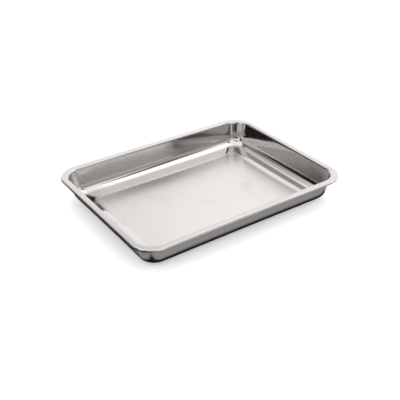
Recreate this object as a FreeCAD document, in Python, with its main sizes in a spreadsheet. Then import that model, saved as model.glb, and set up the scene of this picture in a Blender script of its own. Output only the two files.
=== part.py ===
"""Deep-drawn stainless steel instrument tray, pressed from one sheet and built as one body.

The part frame has +Z up, with the origin at the centre of the flat underside of the floor. X runs
along the long side and Y along the short side. Lengths are millimetres and angles are degrees.

From the outside inwards the pressing has a turned-down lip, a flat rim, a rolled bend into the
well, a leaning wall, a large heel radius, a shallow ramp and a flat floor. The outside of the
sheet is built first as a solid, and then the well is taken out one sheet thickness inside it.
"""
import FreeCAD, Part
import Sketcher
import math
import os

NODE = "tray_pan"

# An outline's sketch holds its four sides and then its four corner arcs, by these numbers, and
# the sketcher numbers the points of each line or arc, and the sketch's own origin.
BACK, LEFT, FRONT, RIGHT = range(4)
FIRST_ARC = 4
EDGES_OF_OUTLINE = 8
START, END, CENTRE = 1, 2, 3
ORIGIN = -1

# Driving dimensions: alias, value, meaning.
DRIVING = [
    ("tray_length", 400.0, "overall length of the rim, along X"),
    ("tray_width", 300.0, "overall width of the rim, along Y"),
    ("tray_height", 47.0, "underside of the floor to the top of the rim"),
    ("sheet", 0.8, "thickness of the pressed sheet"),
    ("rim_land", 11.7, "outer edge of the rim to the top of the well wall"),
    ("rim_corner", 39.5, "plan radius of the outer corners of the rim"),
    ("rim_roll", 3.0, "inside radius of the bend from rim to wall"),
    ("lip_drop", 4.0, "top of the rim to the lower edge of the turned-down lip"),
    ("lip_roll", 1.5, "inside radius of the bend from rim to lip"),
    ("well_corner", 31.0, "plan radius of the well corners at the top of the wall"),
    ("wall_lean", 11.4, "lean of the wall away from vertical"),
    ("heel_corner", 24.0, "plan radius of the outside corners where wall and ramp would meet"),
    ("heel_radius", 17.0, "inside radius between wall and ramp"),
    ("ramp_slope", 8.0, "slope of the ramp above the floor"),
    ("floor_inset", 49.0, "outer edge of the rim to the edge of the flat floor"),
    ("floor_corner", 15.0, "plan radius of the corners of the flat floor"),
    ("crease_radius", 10.0, "inside radius between ramp and floor"),
]

# Derived dimensions: alias, formula. Wall and ramp are straight in section, so the heel corner is
# where their lines meet. An "outer" value is on the underside of the sheet and an "inner" value
# is one sheet thickness away, on the side that holds the instruments.
DERIVED = [
    ("wall_sheet", "Dimensions.sheet / cos(Dimensions.wall_lean)"),
    ("ramp_sheet", "Dimensions.sheet / cos(Dimensions.ramp_slope)"),
    ("ramp_rise", "Dimensions.floor_inset * tan(Dimensions.ramp_slope)"),
    ("crossing", "1 - tan(Dimensions.ramp_slope) * tan(Dimensions.wall_lean)"),
    ("outer_top_inset", "Dimensions.rim_land - wall_sheet"),
    ("outer_fall", "(Dimensions.tray_height - ramp_rise) * tan(Dimensions.wall_lean)"),
    ("outer_heel_inset", "(outer_top_inset + outer_fall) / crossing"),
    ("outer_heel_level",
     "(Dimensions.floor_inset - outer_heel_inset) * tan(Dimensions.ramp_slope)"),
    ("inner_fall",
     "(Dimensions.tray_height - ramp_sheet - ramp_rise) * tan(Dimensions.wall_lean)"),
    ("inner_heel_inset", "(Dimensions.rim_land + inner_fall) / crossing"),
    ("inner_heel_level",
     "ramp_sheet + (Dimensions.floor_inset - inner_heel_inset) * tan(Dimensions.ramp_slope)"),
    ("outer_top_corner", "Dimensions.well_corner + wall_sheet"),
    ("corner_taper",
     "(outer_top_corner - Dimensions.heel_corner) / (Dimensions.tray_height - outer_heel_level)"),
    ("inner_heel_corner",
     "Dimensions.heel_corner + corner_taper * (inner_heel_level - outer_heel_level) - wall_sheet"),
    ("floor_shift", "Dimensions.sheet * tan(Dimensions.ramp_slope / 2)"),
    ("under_rim_inset", "outer_top_inset + Dimensions.sheet * tan(Dimensions.wall_lean)"),
    ("under_rim_corner", "outer_top_corner - corner_taper * Dimensions.sheet"),
]


class Outline:
    """A level rounded rectangle about the centre line, given by three formulas.

    level is its height above the underside of the floor, inset its distance inside the outer
    edge of the rim, and corner the radius of its corners.
    """

    def __init__(self, level, inset, corner):
        """Keep the formulas, and make the two that give the overall sizes."""
        self.level = level
        self.corner = corner
        self.length = "Dimensions.tray_length - 2 * (%s)" % inset
        self.width = "Dimensions.tray_width - 2 * (%s)" % inset

    def solved(self, owner):
        """Return level, half length, half width and corner as numbers, worked out by owner."""
        level, length, width, corner = [
            float(owner.evalExpression(formula))
            for formula in (self.level, self.length, self.width, self.corner)
        ]
        return level, length / 2, width / 2, corner


LIP_FOOT = Outline("Dimensions.tray_height - Dimensions.lip_drop", "0", "Dimensions.rim_corner")
RIM_TOP = Outline("Dimensions.tray_height", "0", "Dimensions.rim_corner")
RIM_UNDERSIDE = Outline(
    "Dimensions.tray_height - Dimensions.sheet",
    "Dimensions.sheet",
    "Dimensions.rim_corner - Dimensions.sheet",
)
OUTER_TOP = Outline("Dimensions.tray_height", "Derived.outer_top_inset", "Derived.outer_top_corner")
OUTER_ROLL = Outline(
    "Dimensions.tray_height - Dimensions.sheet",
    "Derived.under_rim_inset",
    "Derived.under_rim_corner",
)
OUTER_HEEL = Outline(
    "Derived.outer_heel_level", "Derived.outer_heel_inset", "Dimensions.heel_corner"
)
OUTER_FLOOR = Outline("0", "Dimensions.floor_inset", "Dimensions.floor_corner")
INNER_TOP = Outline("Dimensions.tray_height", "Dimensions.rim_land", "Dimensions.well_corner")
INNER_HEEL = Outline(
    "Derived.inner_heel_level", "Derived.inner_heel_inset", "Derived.inner_heel_corner"
)
INNER_FLOOR = Outline(
    "Dimensions.sheet",
    "Dimensions.floor_inset + Derived.floor_shift",
    "Dimensions.floor_corner - Derived.floor_shift",
)


def make_dimensions(doc):
    """Put the driving dimensions in a spreadsheet, one alias to a row."""
    dimensions = doc.addObject("Spreadsheet::Sheet", "Dimensions")
    for row, (alias, value, meaning) in enumerate(DRIVING, start=1):
        dimensions.set("A%d" % row, meaning)
        dimensions.set("B%d" % row, str(value))
        dimensions.setAlias("B%d" % row, alias)
    doc.recompute()


def make_derived(doc):
    """Put the formulas that follow from the driving dimensions in a second spreadsheet."""
    derived = doc.addObject("Spreadsheet::Sheet", "Derived")
    for row, (alias, formula) in enumerate(DERIVED, start=1):
        derived.set("A%d" % row, alias)
        derived.set("B%d" % row, "=" + formula)
        derived.setAlias("B%d" % row, alias)
    doc.recompute()


def origin_plane(body, role):
    """Return the plane of the body's origin that has this role."""
    for feature in body.Origin.OriginFeatures:
        if feature.Role == role:
            return feature
    raise RuntimeError("no origin plane with the role " + role)


def add_outline(body, name, outline):
    """Add a sketch of the outline to the body, bound to its formulas, and return it."""
    sketch = body.newObject("Sketcher::SketchObject", name)
    sketch.AttachmentSupport = [(origin_plane(body, "XY_Plane"), "")]
    sketch.MapMode = "FlatFace"
    sketch.setExpression("AttachmentOffset.Base.z", outline.level)
    _, half_length, half_width, corner = outline.solved(body)
    draw_rounded_rectangle(sketch, half_length, half_width, corner)
    constrain_rounded_rectangle(sketch)
    length = Sketcher.Constraint("DistanceX", LEFT, START, RIGHT, START, 2 * half_length)
    width = Sketcher.Constraint("DistanceY", FRONT, START, BACK, START, 2 * half_width)
    radius = Sketcher.Constraint("Radius", FIRST_ARC, corner)
    bind_size(sketch, "length", length, outline.length)
    bind_size(sketch, "width", width, outline.width)
    bind_size(sketch, "corner", radius, outline.corner)
    sketch.Visibility = False
    return sketch


def draw_rounded_rectangle(sketch, half_length, half_width, corner):
    """Draw four sides and then four corner arcs, counter-clockwise from the back."""
    x = half_length - corner
    y = half_width - corner
    sides = [
        ((x, half_width), (-x, half_width)),
        ((-half_length, y), (-half_length, -y)),
        ((-x, -half_width), (x, -half_width)),
        ((half_length, -y), (half_length, y)),
    ]
    for start, end in sides:
        sketch.addGeometry(Part.LineSegment(FreeCAD.Vector(*start), FreeCAD.Vector(*end)), False)
    quarter = math.pi / 2
    for turn, centre in enumerate([(-x, y), (-x, -y), (x, -y), (x, y)], start=1):
        circle = Part.Circle(FreeCAD.Vector(*centre), FreeCAD.Vector(0, 0, 1), corner)
        arc = Part.ArcOfCircle(circle, turn * quarter, (turn + 1) * quarter)
        sketch.addGeometry(arc, False)


def constrain_rounded_rectangle(sketch):
    """Join the sides and the arcs smoothly, square to the axes and about the origin."""
    sides = [BACK, LEFT, FRONT, RIGHT]
    arcs = [FIRST_ARC + side for side in sides]
    for side, arc, next_side in zip(sides, arcs, sides[1:] + sides[:1]):
        sketch.addConstraint(Sketcher.Constraint("Tangent", side, END, arc, START))
        sketch.addConstraint(Sketcher.Constraint("Tangent", arc, END, next_side, START))
    for side in (BACK, FRONT):
        sketch.addConstraint(Sketcher.Constraint("Horizontal", side))
    for side in (LEFT, RIGHT):
        sketch.addConstraint(Sketcher.Constraint("Vertical", side))
    for arc in arcs[1:]:
        sketch.addConstraint(Sketcher.Constraint("Equal", FIRST_ARC, arc))
    opposite = Sketcher.Constraint("Symmetric", arcs[0], CENTRE, arcs[2], CENTRE, ORIGIN, START)
    sketch.addConstraint(opposite)


def bind_size(sketch, name, constraint, formula):
    """Add a named size to the sketch and tie it to its formula."""
    index = sketch.addConstraint(constraint)
    sketch.renameConstraint(index, name)
    sketch.setExpression("Constraints." + name, formula)


def add_pad(body, name, outline, length):
    """Raise a solid from the outline by the length formula."""
    pad = body.newObject("PartDesign::Pad", name)
    pad.Profile = add_outline(body, name + "_outline", outline)
    pad.setExpression("Length", length)


def add_pocket(body, name, outline, depth):
    """Cut downwards from the outline by the depth formula."""
    pocket = body.newObject("PartDesign::Pocket", name)
    pocket.Profile = add_outline(body, name + "_outline", outline)
    pocket.setExpression("Length", depth)


def add_loft(body, name, kind, upper, lower):
    """Add or take away the straight-sided solid between two sketches of outlines."""
    loft = body.newObject("PartDesign::" + kind, name)
    loft.Profile = upper
    loft.Sections = [lower]
    loft.Ruled = True


def add_fillet(body, name, outline, radius):
    """Round the edges of the body so far that lie along an outline."""
    base = body.Tip
    fillet = body.newObject("PartDesign::Fillet", name)
    fillet.Base = (base, edges_along(body, base.Shape, outline))
    fillet.setExpression("Radius", radius)


def edges_along(body, shape, outline):
    """Return the names of the shape's edges that lie along the outline."""
    level, half_length, half_width, corner = outline.solved(body)
    names = []
    for number, edge in enumerate(shape.Edges, start=1):
        middle = edge.valueAt((edge.FirstParameter + edge.LastParameter) / 2)
        points = [middle] + [vertex.Point for vertex in edge.Vertexes]
        if all(is_on_outline(point, level, half_length, half_width, corner) for point in points):
            names.append("Edge%d" % number)
    if len(names) != EDGES_OF_OUTLINE:
        raise RuntimeError("an outline has the wrong number of edges: %d" % len(names))
    return names


def is_on_outline(point, level, half_length, half_width, corner):
    """Say whether a point lies on a rounded rectangle, within a small fraction of the sheet."""
    closeness = 0.01
    beyond_x = abs(point.x) - (half_length - corner)
    beyond_y = abs(point.y) - (half_width - corner)
    past_corner = math.hypot(max(beyond_x, 0), max(beyond_y, 0))
    distance = past_corner + min(max(beyond_x, beyond_y), 0) - corner
    return abs(distance) < closeness and abs(point.z - level) < closeness


def build_rim(doc, body):
    """Build the flat rim and its turned-down lip as a shallow open box, upside down."""
    add_pad(body, "RimBlock", LIP_FOOT, "Dimensions.lip_drop")
    doc.recompute()
    block_volume = body.Shape.Volume
    add_pocket(body, "RimHollow", RIM_UNDERSIDE, "Dimensions.lip_drop - Dimensions.sheet")
    doc.recompute()
    if body.Shape.Volume > block_volume / 2:
        raise RuntimeError("the hollow under the rim points away from the block")


def build_outside(doc, body):
    """Add the solid that the underside of the sheet bounds, from the rim to the floor."""
    top = add_outline(body, "OuterTop", OUTER_TOP)
    heel = add_outline(body, "OuterHeel", OUTER_HEEL)
    floor = add_outline(body, "OuterFloor", OUTER_FLOOR)
    add_loft(body, "OuterWall", "AdditiveLoft", top, heel)
    doc.recompute()
    add_loft(body, "OuterRamp", "AdditiveLoft", heel, floor)
    doc.recompute()


def build_well(doc, body):
    """Take out the well, one sheet thickness inside the outside solid."""
    solid_volume = body.Shape.Volume
    top = add_outline(body, "InnerTop", INNER_TOP)
    heel = add_outline(body, "InnerHeel", INNER_HEEL)
    floor = add_outline(body, "InnerFloor", INNER_FLOOR)
    add_loft(body, "InnerWall", "SubtractiveLoft", top, heel)
    doc.recompute()
    add_loft(body, "InnerRamp", "SubtractiveLoft", heel, floor)
    doc.recompute()
    if body.Shape.Volume > solid_volume / 2:
        raise RuntimeError("the well was not taken out")


def round_bends(doc, body):
    """Round every bend of the sheet, the hollow side first so that the sheet is never cut through.

    The full side of a bend is one sheet thickness larger in radius than its hollow side.
    """
    bends = [
        ("LipBend", RIM_UNDERSIDE, RIM_TOP, "Dimensions.lip_roll"),
        ("RimRoll", OUTER_ROLL, INNER_TOP, "Dimensions.rim_roll"),
        ("Heel", INNER_HEEL, OUTER_HEEL, "Dimensions.heel_radius"),
        ("Crease", INNER_FLOOR, OUTER_FLOOR, "Dimensions.crease_radius"),
    ]
    for name, hollow_side, full_side, radius in bends:
        add_fillet(body, name + "Hollow", hollow_side, radius)
        doc.recompute()
        add_fillet(body, name + "Full", full_side, radius + " + Dimensions.sheet")
        doc.recompute()


def build_tray(doc):
    """Build the whole pressing and return its body."""
    body = doc.addObject("PartDesign::Body", NODE)
    body.Label = NODE
    body.Placement = FreeCAD.Placement()
    build_rim(doc, body)
    build_outside(doc, body)
    build_well(doc, body)
    round_bends(doc, body)
    return body


def check(doc, body):
    """Stop if any object failed to recompute or if the finished solid is not sound."""
    for item in doc.Objects:
        if "Invalid" in item.State or "Error" in item.State:
            raise RuntimeError("%s did not recompute: %s" % (item.Name, item.State))
    shape = body.Shape
    if shape.isNull() or not shape.isValid() or len(shape.Solids) != 1:
        raise RuntimeError("%s is not one valid solid" % body.Label)


def main():
    """Build the document, check it and write each node's shape."""
    doc = FreeCAD.newDocument("InstrumentTray")
    make_dimensions(doc)
    make_derived(doc)
    body = build_tray(doc)
    doc.recompute()
    check(doc, body)
    os.makedirs("parts", exist_ok=True)
    body.Shape.exportStep(os.path.join("parts", body.Label + ".step"))


main()
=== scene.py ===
"""The polished instrument tray on its pale table, in a soft studio.

The tray is one pressed sheet of stainless steel. Its two faces are drawn here as stacks of level
outlines, each extruded from the one before, so that reflections run smoothly round every bend.
Lengths are in metres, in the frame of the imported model.
"""
from __future__ import annotations

import logging
import math
from dataclasses import dataclass
from enum import Enum
from typing import Any

import bmesh
import bpy
from mathutils import Matrix, Vector

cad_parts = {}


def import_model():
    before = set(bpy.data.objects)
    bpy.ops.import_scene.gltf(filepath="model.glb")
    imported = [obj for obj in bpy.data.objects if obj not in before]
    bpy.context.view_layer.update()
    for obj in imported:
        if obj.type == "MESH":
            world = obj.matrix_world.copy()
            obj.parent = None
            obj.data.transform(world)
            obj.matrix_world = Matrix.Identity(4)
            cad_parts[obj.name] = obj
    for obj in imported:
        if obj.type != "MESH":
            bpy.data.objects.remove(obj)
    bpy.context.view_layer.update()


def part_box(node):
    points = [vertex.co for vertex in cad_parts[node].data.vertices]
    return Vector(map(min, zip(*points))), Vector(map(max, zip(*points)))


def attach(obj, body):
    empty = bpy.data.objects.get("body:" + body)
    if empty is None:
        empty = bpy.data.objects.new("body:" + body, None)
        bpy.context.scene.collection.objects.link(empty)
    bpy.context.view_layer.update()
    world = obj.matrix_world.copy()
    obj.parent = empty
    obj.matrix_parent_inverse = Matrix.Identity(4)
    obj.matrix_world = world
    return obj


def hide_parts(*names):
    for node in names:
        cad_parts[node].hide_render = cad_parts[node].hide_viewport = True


LOG = logging.getLogger("instrument_tray")
MM = 0.001
FEWEST_STEPS = 3
LONGEST_STEP = 8 * MM
AIM_ALONG = -0.12
AIM_ACROSS = -0.235

Triple = tuple[float, float, float]


class Value:
    """A number that varies over a surface: an output socket on which sums can be written."""

    def __init__(self, socket: bpy.types.NodeSocket) -> None:
        """Wrap an output socket."""
        self.socket = socket

    def maths(self, operation: str, *others: Value | float) -> Value:
        """Add a Math node that takes this value first.

        Args:
            operation: the node's operation.
            others: its other inputs, in order.

        Returns:
            The node's result.
        """
        bench = Bench(self.socket.id_data)
        inputs = dict(enumerate((self, *others)))
        node = bench.node("ShaderNodeMath", {"operation": operation}, inputs)
        return Value(node.outputs[0])

    def __add__(self, other: Value | float) -> Value:
        """Add a value."""
        return self.maths("ADD", other)

    def __radd__(self, other: float) -> Value:
        """Add to a number."""
        return self.maths("ADD", other)

    def __sub__(self, other: Value | float) -> Value:
        """Take a value away."""
        return self.maths("SUBTRACT", other)

    def __rsub__(self, other: float) -> Value:
        """Take this from a number."""
        return self.maths("MULTIPLY", -1.0).maths("ADD", other)

    def __mul__(self, other: Value | float) -> Value:
        """Multiply by a value."""
        return self.maths("MULTIPLY", other)

    def __rmul__(self, other: float) -> Value:
        """Multiply a number by this."""
        return self.maths("MULTIPLY", other)

    def ramp(self, low: float, high: float) -> Value:
        """Rise smoothly from zero at low to one at high."""
        bench = Bench(self.socket.id_data)
        settings = {"interpolation_type": "SMOOTHSTEP"}
        node = bench.node(
            "ShaderNodeMapRange", settings, {"Value": self, "From Min": low, "From Max": high}
        )
        return Value(node.outputs["Result"])


class Bench:
    """A node tree and the one way in which nodes are put into it."""

    def __init__(self, tree: bpy.types.NodeTree) -> None:
        """Wrap a node tree."""
        self.tree = tree

    def node(
        self, kind: str, settings: dict[str, Any], inputs: dict[str | int, Any]
    ) -> bpy.types.Node:
        """Add a node.

        Args:
            kind: the node's type.
            settings: its properties, set before its inputs.
            inputs: what goes into each socket: a number or colour, a value or an output socket.

        Returns:
            The new node.
        """
        node = self.tree.nodes.new(kind)
        for name, setting in settings.items():
            setattr(node, name, setting)
        for name, given in inputs.items():
            given = given.socket if isinstance(given, Value) else given
            if isinstance(given, bpy.types.NodeSocket):
                self.tree.links.new(given, node.inputs[name])
            else:
                node.inputs[name].default_value = given
        return node


@dataclass(frozen=True)
class Outline:
    """A level rounded rectangle round the tray's centre line.

    Attributes:
        inset: distance inside the outer edge of the rim.
        level: height above the table.
        corner: radius of its corners.
    """

    inset: float
    level: float
    corner: float


@dataclass(frozen=True)
class Bend:
    """A corner of the sheet's section, rounded to a radius.

    Attributes:
        place: inset and level of the sharp corner.
        radius: radius that rounds it.
        steps: number of facets round it.
    """

    place: Vector
    radius: float
    steps: int


class Face(Enum):
    """The two faces of the sheet, by how far each lies above the underside."""

    UPPER = 1.0
    UNDER = 0.0


@dataclass
class Pressing:
    """The pressed sheet, with the sizes that shape it.

    Attributes:
        length: overall length of the rim.
        width: overall width of the rim.
        height: underside of the floor to the top of the rim.
        sheet: thickness of the sheet.
        rim_land: outer edge of the rim to the top of the wall.
        rim_corner: corner radius of the rim's outer edge.
        rim_roll: radius, on the underside, of the bend from the rim into the wall.
        lip_drop: depth of the turned-down lip, from the top of the rim.
        lip_roll: radius, on the underside, of the bend from the rim into the lip.
        well_corner: corner radius of the well at the top of the wall.
        wall_lean: lean of the wall from upright.
        heel_corner: corner radius where wall and ramp would meet.
        heel_radius: inside radius of the bend from the wall into the ramp.
        ramp_slope: slope of the ramp between the heel and the floor.
        floor_inset: outer edge of the rim to the flat floor.
        floor_corner: corner radius of the flat floor.
        crease_radius: inside radius of the bend from the ramp into the floor.
        middle_gap: half the width of the last outline, in the middle of the floor.
        bow: how far the foot of each side bows inwards at its middle.
        bow_reach: inset at which the bow has died away, in floor insets.
        swell: how far the wall swells out next to the corners.
        swell_width: how far the swell spreads along the wall.
        swell_band: the shares of the height between which it is full.
        swell_fade: the insets over which it dies away, in rim lands.
        corner_steps: number of facets round each corner.
        side_cuts: number of cuts along each side.
    """

    length: float
    width: float
    height: float
    sheet: float = 0.8 * MM
    rim_land: float = 11.7 * MM
    rim_corner: float = 39.5 * MM
    rim_roll: float = 3.0 * MM
    lip_drop: float = 4.0 * MM
    lip_roll: float = 1.5 * MM
    well_corner: float = 31.0 * MM
    wall_lean: float = math.radians(11.4)
    heel_corner: float = 24.0 * MM
    heel_radius: float = 17.0 * MM
    ramp_slope: float = math.radians(8.0)
    floor_inset: float = 49.0 * MM
    floor_corner: float = 15.0 * MM
    crease_radius: float = 10.0 * MM
    middle_gap: float = 1.0 * MM
    bow: float = 3.5 * MM
    bow_reach: float = 2.2
    swell: float = 0.35 * MM
    swell_width: float = 17.0 * MM
    swell_band: tuple[float, float] = (0.5, 0.6)
    swell_fade: tuple[float, float] = (1.2, 3.0)
    corner_steps: int = 20
    side_cuts: int = 31

    def build(self, name: str) -> bpy.types.Object:
        """Build the pressing as one closed mesh.

        Args:
            name: name of the new object.

        Returns:
            The finished object, at the origin.
        """
        bm = bmesh.new()
        upper, under = self.section(Face.UPPER), self.section(Face.UNDER)
        foot = self.first_ring(bm, upper[0])
        self.stack(bm, foot, upper)
        self.stack(bm, foot, [upper[0], *under])
        for vert in bm.verts:
            vert.co = self.sprung(vert.co)
        bmesh.ops.recalc_face_normals(bm, faces=bm.faces)
        for face in bm.faces:
            face.smooth = True
        return placed(name, bm)

    def heel_meeting(self, depth: float) -> tuple[float, float]:
        """Find where wall and ramp would meet on a face of the sheet.

        Args:
            depth: how far the face lies above the underside, zero or one sheet thickness.

        Returns:
            The inset and the level of the meeting line.
        """
        lean, slope = math.tan(self.wall_lean), math.tan(self.ramp_slope)
        top_inset = self.rim_land - (self.sheet - depth) / math.cos(self.wall_lean)
        foot_level = depth / math.cos(self.ramp_slope)
        fall = self.height - foot_level - self.floor_inset * slope
        inset = (top_inset + fall * lean) / (1 - slope * lean)
        return inset, foot_level + (self.floor_inset - inset) * slope

    def corner_at(self, inset: float, depth: float) -> float:
        """Give the corner radius of the outline at an inset on a face of the sheet.

        Args:
            inset: distance inside the outer edge of the rim.
            depth: how far the face lies above the underside.

        Returns:
            The radius, which changes evenly along each stretch of the section.
        """
        shift = (self.sheet - depth) / math.cos(self.wall_lean)
        middle = self.width / 2
        known = [
            (0.0, self.rim_corner),
            (self.rim_land - shift, self.well_corner + shift),
            (self.heel_meeting(depth)[0], self.heel_corner - depth),
            (self.floor_inset, self.floor_corner),
            (middle, 0.5 * self.middle_gap),
        ]
        for (low, at_low), (high, at_high) in zip(known, known[1:]):
            if inset <= high:
                return at_low + (at_high - at_low) * (inset - low) / (high - low)
        return at_high

    def section(self, face: Face) -> list[Outline]:
        """Draw one face of the sheet, from the foot of the lip to the middle of the floor."""
        depth = face.value * self.sheet
        below = self.sheet - depth
        top = self.height - below
        top_inset = self.rim_land - below / math.cos(self.wall_lean)
        top_inset += below * math.tan(self.wall_lean)
        floor_inset = self.floor_inset + depth * math.tan(self.ramp_slope / 2)
        bends = [
            Bend(Vector((below, self.height - self.lip_drop)), 0.0, 0),
            Bend(Vector((below, top)), self.lip_roll + depth, 6),
            Bend(Vector((top_inset, top)), self.rim_roll + depth, 10),
            Bend(Vector(self.heel_meeting(depth)), self.heel_radius + below, 18),
            Bend(Vector((floor_inset, depth)), self.crease_radius + below, 4),
            Bend(Vector((self.width / 2 - self.middle_gap, depth)), 0.0, 0),
        ]
        return [Outline(x, z, self.corner_at(x, depth)) for x, z in rounded_path(bends)]

    def stack(
        self, bm: bmesh.types.BMesh, ring: list[bmesh.types.BMEdge], section: list[Outline]
    ) -> None:
        """Extrude a ring through every outline of a section and close it in the middle.

        Args:
            bm: mesh under construction.
            ring: edges along the first outline.
            section: outlines in order, the last one round the middle of the floor.
        """
        for before, after in zip(section, section[1:]):
            grown = bmesh.ops.extrude_edge_only(bm, edges=ring)["geom"]
            for item in grown:
                if isinstance(item, bmesh.types.BMVert):
                    item.co = self.moved(item.co, before, after)
            ring = [item for item in grown if isinstance(item, bmesh.types.BMEdge)]
        bmesh.ops.contextual_create(bm, geom=ring)

    def first_ring(self, bm: bmesh.types.BMesh, outline: Outline) -> list[bmesh.types.BMEdge]:
        """Make a ring of edges along an outline, from a plate with its corners bevelled.

        Args:
            bm: mesh under construction.
            outline: outline to follow.

        Returns:
            The edges of the ring.
        """
        plate = bmesh.ops.create_grid(bm, x_segments=1, y_segments=1, size=0.5)["verts"]
        size = (self.length - 2 * outline.inset, self.width - 2 * outline.inset, 1.0)
        bmesh.ops.scale(bm, vec=size, verts=plate)
        bmesh.ops.translate(bm, vec=(0, 0, outline.level), verts=plate)
        rounded = bmesh.ops.bevel(
            bm, geom=plate, offset=outline.corner, offset_type="OFFSET", affect="VERTICES",
            segments=self.corner_steps, profile=0.5, material=-1,
        )
        face = rounded["verts"][0].link_faces[0]
        sides = [edge for edge in face.edges if edge.calc_length() > outline.corner]
        bmesh.ops.subdivide_edges(bm, edges=sides, cuts=self.side_cuts)
        ring = list(face.edges)
        bmesh.ops.delete(bm, geom=[face], context="FACES_ONLY")
        return ring

    def moved(self, place: Vector, before: Outline, after: Outline) -> Vector:
        """Carry a point from one outline to the same station on another.

        Args:
            place: point on the first outline.
            before: outline that the point lies on.
            after: outline that it moves to.

        Returns:
            The matching point on the second outline.
        """
        old_core, new_core = self.core(before), self.core(after)
        share = Vector((clamp(place.x / old_core.x), clamp(place.y / old_core.y)))
        outward = (place.xy - share * old_core) / before.corner
        flat = share * new_core + outward * after.corner
        return Vector((flat.x, flat.y, after.level))

    def sprung(self, place: Vector) -> Vector:
        """Move a point of the well as the sheet springs back after pressing.

        The middle of each side bows inwards at its foot, and the wall swells out a little where
        it runs into the corners.

        Args:
            place: point of the true pressing.

        Returns:
            The point of the sprung one.
        """
        moved = place.copy()
        halves = (self.length / 2, self.width / 2)
        level = place.z / self.height
        band_low, band_high = self.swell_band
        in_band = smooth_step(0.0, band_low, level) * smooth_step(1.0, band_high, level)
        fade_start, fade_end = (share * self.rim_land for share in self.swell_fade)
        bow_end = self.bow_reach * self.floor_inset
        for axis, along in ((0, 1), (1, 0)):
            inset = halves[axis] - abs(place[axis])
            straight_end = halves[along] - self.rim_land - self.well_corner
            share = abs(place[along]) / straight_end
            rise = smooth_step(self.rim_land, self.floor_inset, inset)
            fall = 1.0 - smooth_step(self.floor_inset, bow_end, inset)
            bow = self.bow * rise * fall * max(0.0, 1.0 - share * share)
            off_end = (abs(place[along]) - straight_end) / self.swell_width
            on_wall = 1.0 - smooth_step(fade_start, fade_end, inset)
            swell = self.swell * in_band * on_wall * math.exp(-off_end * off_end)
            moved[axis] -= math.copysign(bow - swell, place[axis])
        return moved

    def core(self, outline: Outline) -> Vector:
        """Give the half sizes of the rectangle that joins an outline's corner centres."""
        gap = outline.inset + outline.corner
        return Vector((self.length / 2 - gap, self.width / 2 - gap))


def smooth_step(low: float, high: float, value: float) -> float:
    """Rise smoothly from zero at low to one at high."""
    share = max(0.0, min(1.0, (value - low) / (high - low)))
    return share * share * (3.0 - 2.0 * share)


def clamp(value: float) -> float:
    """Limit a value to the range from -1 to 1."""
    return max(-1.0, min(1.0, value))


def rounded_path(bends: list[Bend]) -> list[Vector]:
    """Round a section at its bends and add points along its straights.

    Args:
        bends: corners of the section in order, the first and last with no radius.

    Returns:
        Points along the section, as inset and level.
    """
    points = [bends[0].place]
    for before, bend, after in zip(bends, bends[1:], bends[2:]):
        inward = (bend.place - before.place).normalized()
        onward = (after.place - bend.place).normalized()
        turn = inward.angle_signed(onward)
        reach = bend.radius * math.tan(abs(turn) / 2)
        start = bend.place - inward * reach
        points += straight(points[-1], start)
        spoke = inward.orthogonal() * math.copysign(bend.radius, turn)
        centre = start - spoke
        for step in range(1, bend.steps + 1):
            swing = Matrix.Rotation(-turn * step / bend.steps, 2)
            points.append(centre + swing @ spoke)
    return points + straight(points[-1], bends[-1].place)


def straight(start: Vector, end: Vector) -> list[Vector]:
    """Give points from start to end, start left out, set closer together near both ends."""
    steps = FEWEST_STEPS + int((end - start).length / LONGEST_STEP)
    shares = [0.5 - 0.5 * math.cos(math.pi * step / steps) for step in range(1, steps + 1)]
    return [start.lerp(end, share) for share in shares]


@dataclass(frozen=True)
class Grain:
    """Noise that is laid over the sheet.

    Attributes:
        scale: features to the metre along each axis.
        detail: octaves of finer noise.
    """

    scale: Triple
    detail: float

    def lay(self, bench: Bench, place: bpy.types.NodeSocket) -> Value:
        """Lay the noise.

        Args:
            bench: where the nodes go.
            place: coordinates.

        Returns:
            The noise, from zero to one.
        """
        spread = bench.node("ShaderNodeMapping", {}, {"Vector": place, "Scale": self.scale})
        noise = bench.node(
            "ShaderNodeTexNoise", {},
            {"Vector": spread.outputs[0], "Scale": 1.0, "Detail": self.detail},
        )
        return Value(noise.outputs[0])


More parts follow.
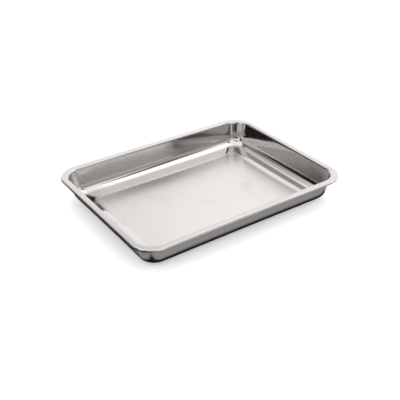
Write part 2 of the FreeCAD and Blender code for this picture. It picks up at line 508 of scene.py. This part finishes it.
@dataclass(frozen=True)
class PolishedSteel:
    """Stainless steel sheet, burnished on its walls and satin on its floor and rim.

    Attributes:
        colour: colour of the metal.
        worn_and_shaded: the darker colour, laid where handling has dulled the sheet, over the
            satin rim, and over the walls as painted shade.
        wall_painted_shade: how much of the darker colour the walls are given, as painted shade
            that darkens their reflections.
        wall: roughness of the burnished walls.
        floor: roughness of the satin floor.
        rim: roughness of the rim.
        floor_levels: heights between which the floor's finish gives way to the wall's.
        rim_levels: heights between which the wall's finish gives way to the rim's.
        rolled: fine lines that the rolling mill left along the sheet.
        cross: fainter lines across them.
        drawn: lines that the die drew down the walls.
        cloud: large patches.
        patches: levels of the patches between which the sheet turns worn.
        hairline: noise that the scratches are cut from.
        scratch_levels: levels of that noise between which a scratch begins.
        scratch_turns: directions of the scratches, in degrees.
        relief: height of the lines.
    """

    colour: Triple = (0.585, 0.565, 0.555)
    worn_and_shaded: Triple = (0.515, 0.495, 0.487)
    wall_painted_shade: float = 0.7
    wall: float = 0.085
    floor: float = 0.3
    rim: float = 0.2
    floor_levels: tuple[float, float] = (0.95 * MM, 1.7 * MM)
    rim_levels: tuple[float, float] = (46.2 * MM, 46.9 * MM)
    rolled: Grain = Grain((45.0, 2600.0, 45.0), 3.0)
    cross: Grain = Grain((1900.0, 70.0, 60.0), 3.0)
    drawn: Grain = Grain((900.0, 900.0, 14.0), 2.0)
    cloud: Grain = Grain((16.0, 16.0, 16.0), 4.0)
    patches: tuple[float, float] = (0.55, 0.75)
    hairline: Grain = Grain((26.0, 1500.0, 300.0), 1.0)
    scratch_levels: tuple[float, float] = (0.70, 0.76)
    scratch_turns: Triple = (20.0, 75.0, 130.0)
    relief: float = 0.0012 * MM

    def material(self) -> bpy.types.Material:
        """Build the finish as a material."""
        material = bpy.data.materials.new("polished_steel")
        material.use_nodes = True
        material.node_tree.nodes.clear()
        bench = Bench(material.node_tree)
        place = bench.node("ShaderNodeTexCoord", {}, {}).outputs["Object"]
        level = Value(bench.node("ShaderNodeSeparateXYZ", {}, {"Vector": place}).outputs["Z"])
        on_floor = 1.0 - level.ramp(*self.floor_levels)
        on_rim = level.ramp(*self.rim_levels)
        on_wall = 1.0 - on_floor - on_rim

        rolled = self.rolled.lay(bench, place)
        cross = self.cross.lay(bench, place)
        drawn = self.drawn.lay(bench, place)
        worn = self.cloud.lay(bench, place).ramp(*self.patches)
        scratch = self.scratches(bench, place)

        satin = (rolled - 0.5) * 0.10 + (cross - 0.5) * 0.05 + scratch * 0.10
        burnish = (drawn - 0.5) * 0.05 + scratch * 0.05
        roughness = (
            self.wall
            + on_floor * (self.floor - self.wall)
            + on_rim * (self.rim - self.wall)
            + (on_floor + on_rim) * satin
            + on_wall * burnish
            + worn * 0.035
        )
        lines = (on_floor + on_rim) * rolled + on_wall * drawn * 0.6 - scratch * 0.8
        bump = bench.node(
            "ShaderNodeBump", {}, {"Strength": 1.0, "Distance": self.relief, "Height": lines}
        )
        # Painted shade: the darker colour goes over the walls to darken their reflections, as
        # well as over the rim and over handling wear and scratches.
        wear_and_painted_shade = worn * 0.6 + scratch * 0.5 + on_wall * self.wall_painted_shade + on_rim
        colour = bench.node(
            "ShaderNodeMix", {"data_type": "RGBA"},
            {
                "Factor": wear_and_painted_shade.maths("MINIMUM", 1.0),
                "A": (*self.colour, 1.0),
                "B": (*self.worn_and_shaded, 1.0),
            },
        )
        shader = bench.node(
            "ShaderNodeBsdfPrincipled", {},
            {
                "Base Color": colour.outputs["Result"],
                "Metallic": 1.0,
                "Roughness": roughness,
                "Normal": bump.outputs["Normal"],
            },
        )
        bench.node("ShaderNodeOutputMaterial", {}, {"Surface": shader.outputs[0]})
        return material

    def scratches(self, bench: Bench, place: bpy.types.NodeSocket) -> Value:
        """Lay sparse hairline scratches over the sheet.

        Args:
            bench: where the nodes go.
            place: coordinates.

        Returns:
            One in a scratch and zero elsewhere.
        """
        found = 0.0
        for turn in self.scratch_turns:
            turned = bench.node(
                "ShaderNodeMapping", {},
                {"Vector": place, "Rotation": (0.0, 0.0, math.radians(turn))},
            )
            line = self.hairline.lay(bench, turned.outputs[0])
            found = line.ramp(*self.scratch_levels) + found
        return found.maths("MINIMUM", 1.0)


@dataclass(frozen=True)
class PaleTop:
    """The pale top that the tray stands on, which glows a little: painted light that lightens the
    tray's shadow on it.

    Attributes:
        colour: colour of the top.
        glow: how brightly it glows, as painted light that lightens the shadow on the top.
    """

    colour: Triple = (0.8, 0.8, 0.8)
    glow: float = 0.3

    def material(self) -> bpy.types.Material:
        """Build the finish as a material."""
        material = bpy.data.materials.new("pale_top")
        material.use_nodes = True
        material.node_tree.nodes.clear()
        bench = Bench(material.node_tree)
        matt = bench.node("ShaderNodeBsdfDiffuse", {}, {"Color": (*self.colour, 1.0)})
        # Painted light: the top glows, which lifts the tray's shadow on it.
        glow = bench.node("ShaderNodeEmission", {}, {"Strength": self.glow})
        both = bench.node("ShaderNodeAddShader", {}, {0: matt.outputs[0], 1: glow.outputs[0]})
        bench.node("ShaderNodeOutputMaterial", {}, {"Surface": both.outputs[0]})
        return material


@dataclass(frozen=True)
class Card:
    """A flat card that stands round the tray, seen only in the steel.

    Attributes:
        name: name of the card.
        azimuth: direction from the tray to its middle, in degrees from +Y towards +X.
        elevation: height of its middle above the table top, in degrees.
        width: width across.
        height: height along its own slope.
        distance: distance from the tray.
        brightness: how brightly it shines.
        fade: width of its soft border, as a share of its own width and height.
        shift: how far it is moved along X and Y.
    """

    name: str
    azimuth: float
    elevation: float
    width: float
    height: float
    distance: float
    brightness: float
    fade: float = 0.1
    shift: tuple[float, float] = (0.0, 0.0)

    def build(self, centre: Vector) -> bpy.types.Object:
        """Build the card, facing the tray.

        Args:
            centre: the point that the card faces.

        Returns:
            The card, at the origin.
        """
        bm = bmesh.new()
        bm.loops.layers.uv.new("card")
        grid = bmesh.ops.create_grid(bm, x_segments=1, y_segments=1, size=0.5, calc_uvs=True)
        sheet = grid["verts"]
        bmesh.ops.scale(bm, vec=(self.width, self.height, 1.0), verts=sheet)
        outward = bearing(self.azimuth, self.elevation)
        turn = outward.to_track_quat("-Z", "Y").to_matrix().to_4x4()
        middle = centre + outward * self.distance + Vector((*self.shift, 0.0))
        place = Matrix.Translation(middle) @ turn
        bmesh.ops.transform(bm, matrix=place, verts=sheet)
        card = placed(self.name, bm)
        card.visible_camera = False
        card.visible_diffuse = False
        card.visible_shadow = False
        card.data.materials.append(self.material())
        return card

    def material(self) -> bpy.types.Material:
        """Build the card's even glow."""
        material = bpy.data.materials.new(self.name)
        material.use_nodes = True
        material.node_tree.nodes.clear()
        bench = Bench(material.node_tree)
        grey = (self.brightness, self.brightness, self.brightness, 1.0)
        glow = bench.node("ShaderNodeEmission", {}, {"Color": grey})
        clear = bench.node("ShaderNodeBsdfTransparent", {}, {})
        place = bench.node("ShaderNodeTexCoord", {}, {}).outputs["UV"]
        parts = bench.node("ShaderNodeSeparateXYZ", {}, {"Vector": place})
        cover = 1.0
        for axis in ("X", "Y"):
            along = Value(parts.outputs[axis])
            cover = along.ramp(0.0, self.fade) * (1.0 - along).ramp(0.0, self.fade) * cover
        both = bench.node(
            "ShaderNodeMixShader", {}, {0: cover, 1: clear.outputs[0], 2: glow.outputs[0]}
        )
        bench.node("ShaderNodeOutputMaterial", {}, {"Surface": both.outputs[0]})
        return material


@dataclass(frozen=True)
class Softbox:
    """A square area light that faces the tray.

    Attributes:
        name: name of the light.
        azimuth: direction from the tray, in degrees from +Y towards +X.
        elevation: height above the table top, in degrees.
        distance: distance from the tray.
        side: length of its sides.
        power: power in watts.
    """

    name: str
    azimuth: float
    elevation: float
    distance: float
    side: float
    power: float

    def build(self, centre: Vector) -> bpy.types.Object:
        """Build the light.

        Args:
            centre: the point that the light faces.

        Returns:
            The light.
        """
        data = bpy.data.lights.new(self.name, "AREA")
        data.size = self.side
        data.energy = self.power
        light = bpy.data.objects.new(self.name, data)
        outward = bearing(self.azimuth, self.elevation)
        turn = outward.to_track_quat("Z", "Y").to_matrix().to_4x4()
        light.matrix_world = Matrix.Translation(centre + outward * self.distance) @ turn
        light.visible_camera = False
        light.visible_glossy = False
        bpy.context.scene.collection.objects.link(light)
        return light


@dataclass
class Studio:
    """The table top, the surroundings and the lights.

    Attributes:
        centre: middle of the tray.
        top_side: length of the table top's sides.
        surround: brightness of the surroundings.
    """

    centre: Vector
    top_side: float = 12.0
    surround: float = 1.5

    def build(self) -> None:
        """Build everything round the tray."""
        self.build_top()
        self.build_world()
        for card in self.cards():
            card.build(self.centre)
        for light in self.lights():
            light.build(self.centre)

    def build_top(self) -> None:
        """Build the table top."""
        bm = bmesh.new()
        bmesh.ops.create_grid(bm, x_segments=1, y_segments=1, size=self.top_side / 2)
        top = placed("table_top", bm)
        top.data.materials.append(PaleTop().material())

    def build_world(self) -> None:
        """Light the surroundings evenly."""
        world = bpy.data.worlds.new("studio")
        world.use_nodes = True
        world.node_tree.nodes.clear()
        bench = Bench(world.node_tree)
        grey = (self.surround, self.surround, self.surround, 1.0)
        glow = bench.node("ShaderNodeBackground", {}, {"Color": grey})
        bench.node("ShaderNodeOutputWorld", {}, {"Surface": glow.outputs[0]})
        bpy.context.scene.world = world
        bpy.context.scene.view_settings.view_transform = "Standard"

    def cards(self) -> list[Card]:
        """List the cards: those that stand round the tray, then those that lie on the table,
        which are painted shade in the steel's reflections.
        """
        return [
            Card("left_flag", 294.5, 18.0, 2.3, 1.6, 2.0, 0.02, 0.08),
            Card("low_left_flag", 234.0, 9.0, 1.2, 0.85, 2.1, 0.02, 0.12),
            Card("back_left_card", 335.0, 26.0, 1.1, 2.0, 2.0, 0.3, 0.3),
            Card("back_card", 355.0, 48.0, 1.1, 0.7, 2.1, 0.75, 0.3),
            Card("upper_back_card", 18.0, 41.0, 1.1, 0.8, 2.2, 1.0, 0.35),
            Card("right_card", 152.0, 20.0, 1.2, 1.8, 2.0, 0.55, 0.1),
            Card("front_card", 195.0, 15.0, 2.2, 1.6, 2.2, 0.85, 0.1),
            Card("top_left_card", 235.0, 60.0, 1.8, 1.2, 2.0, 0.4, 0.3),
            Card("key_card", 92.0, 60.0, 1.7, 0.9, 2.1, 2.0, 0.05),
            Card("box_frame", 134.0, 51.0, 0.36, 0.8, 1.9, 0.0, 0.12),
            # Painted shade: dark and grey sheets just above the table, seen only in the steel,
            # stand for the table's shadow under and beside the tray.
            Card("painted_shade_under_card", 0.0, -90.0, 0.39, 0.29, 0.023, 0.02, 0.03),
            Card("painted_shade_skirt_card", 0.0, -90.0, 0.72, 0.62, 0.0232, 0.45, 0.1),
            Card("painted_shade_left_card", 0.0, -90.0, 0.6, 0.9, 0.0229, 0.03, 0.05, (-0.49, 0.05)),
        ]

    def lights(self) -> list[Softbox]:
        """List the lights."""
        return [Softbox("key_light", 60.0, 62.0, 1.6, 0.9, 14.0)]


@dataclass(frozen=True)
class Viewpoint:
    """The camera.

    Attributes:
        aim: point that it looks at.
        azimuth: direction in which it looks, in degrees from +Y towards +X.
        elevation: its height above the aim, in degrees.
        distance: its distance from the aim.
        lens: focal length in millimetres.
        roll: turn about its own axis, in degrees.
        sensor: width of the sensor in millimetres.
        nearest: distance from which it sees.
    """

    aim: Vector
    azimuth: float = 34.56
    elevation: float = 31.24
    distance: float = 1.0754
    lens: float = 61.17
    roll: float = -0.43
    sensor: float = 36.0
    nearest: float = 10 * MM

    def build(self) -> bpy.types.Object:
        """Build the camera and make it the scene's own."""
        data = bpy.data.cameras.new("camera")
        data.lens = self.lens
        data.sensor_width = self.sensor
        data.clip_start = self.nearest
        camera = bpy.data.objects.new("camera", data)
        outward = bearing(self.azimuth + 180.0, self.elevation)
        turn = outward.to_track_quat("Z", "Y").to_matrix().to_4x4()
        roll = Matrix.Rotation(math.radians(self.roll), 4, "Z")
        camera.matrix_world = Matrix.Translation(self.aim + outward * self.distance) @ turn @ roll
        bpy.context.scene.collection.objects.link(camera)
        bpy.context.scene.camera = camera
        return camera


def bearing(azimuth: float, elevation: float) -> Vector:
    """Give the unit vector in a direction.

    Args:
        azimuth: degrees from +Y towards +X.
        elevation: degrees above the level.

    Returns:
        The vector.
    """
    level = math.cos(math.radians(elevation))
    return Vector((
        level * math.sin(math.radians(azimuth)),
        level * math.cos(math.radians(azimuth)),
        math.sin(math.radians(elevation)),
    ))


def placed(name: str, bm: bmesh.types.BMesh) -> bpy.types.Object:
    """Turn a finished bmesh into an object at the origin.

    Args:
        name: name of the object and its mesh.
        bm: the bmesh, which is freed.

    Returns:
        The object, linked to the scene.
    """
    mesh = bpy.data.meshes.new(name)
    bm.to_mesh(mesh)
    bm.free()
    made = bpy.data.objects.new(name, mesh)
    bpy.context.scene.collection.objects.link(made)
    return made


def main() -> None:
    """Build the tray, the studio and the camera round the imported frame."""
    logging.basicConfig(level=logging.INFO, format="%(message)s")
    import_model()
    low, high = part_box("tray_pan")
    size = Vector(high) - Vector(low)
    tray = Pressing(size.x, size.y, size.z).build("tray_sheet")
    tray.data.materials.append(PolishedSteel().material())
    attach(tray, "root")
    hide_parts("tray_pan")
    LOG.info("tray_sheet: %d faces", len(tray.data.polygons))
    Studio(Vector((0, 0, size.z / 2))).build()
    Viewpoint(Vector((AIM_ALONG * size.x, AIM_ACROSS * size.y, size.z))).build()


if __name__ == "__main__":
    main()
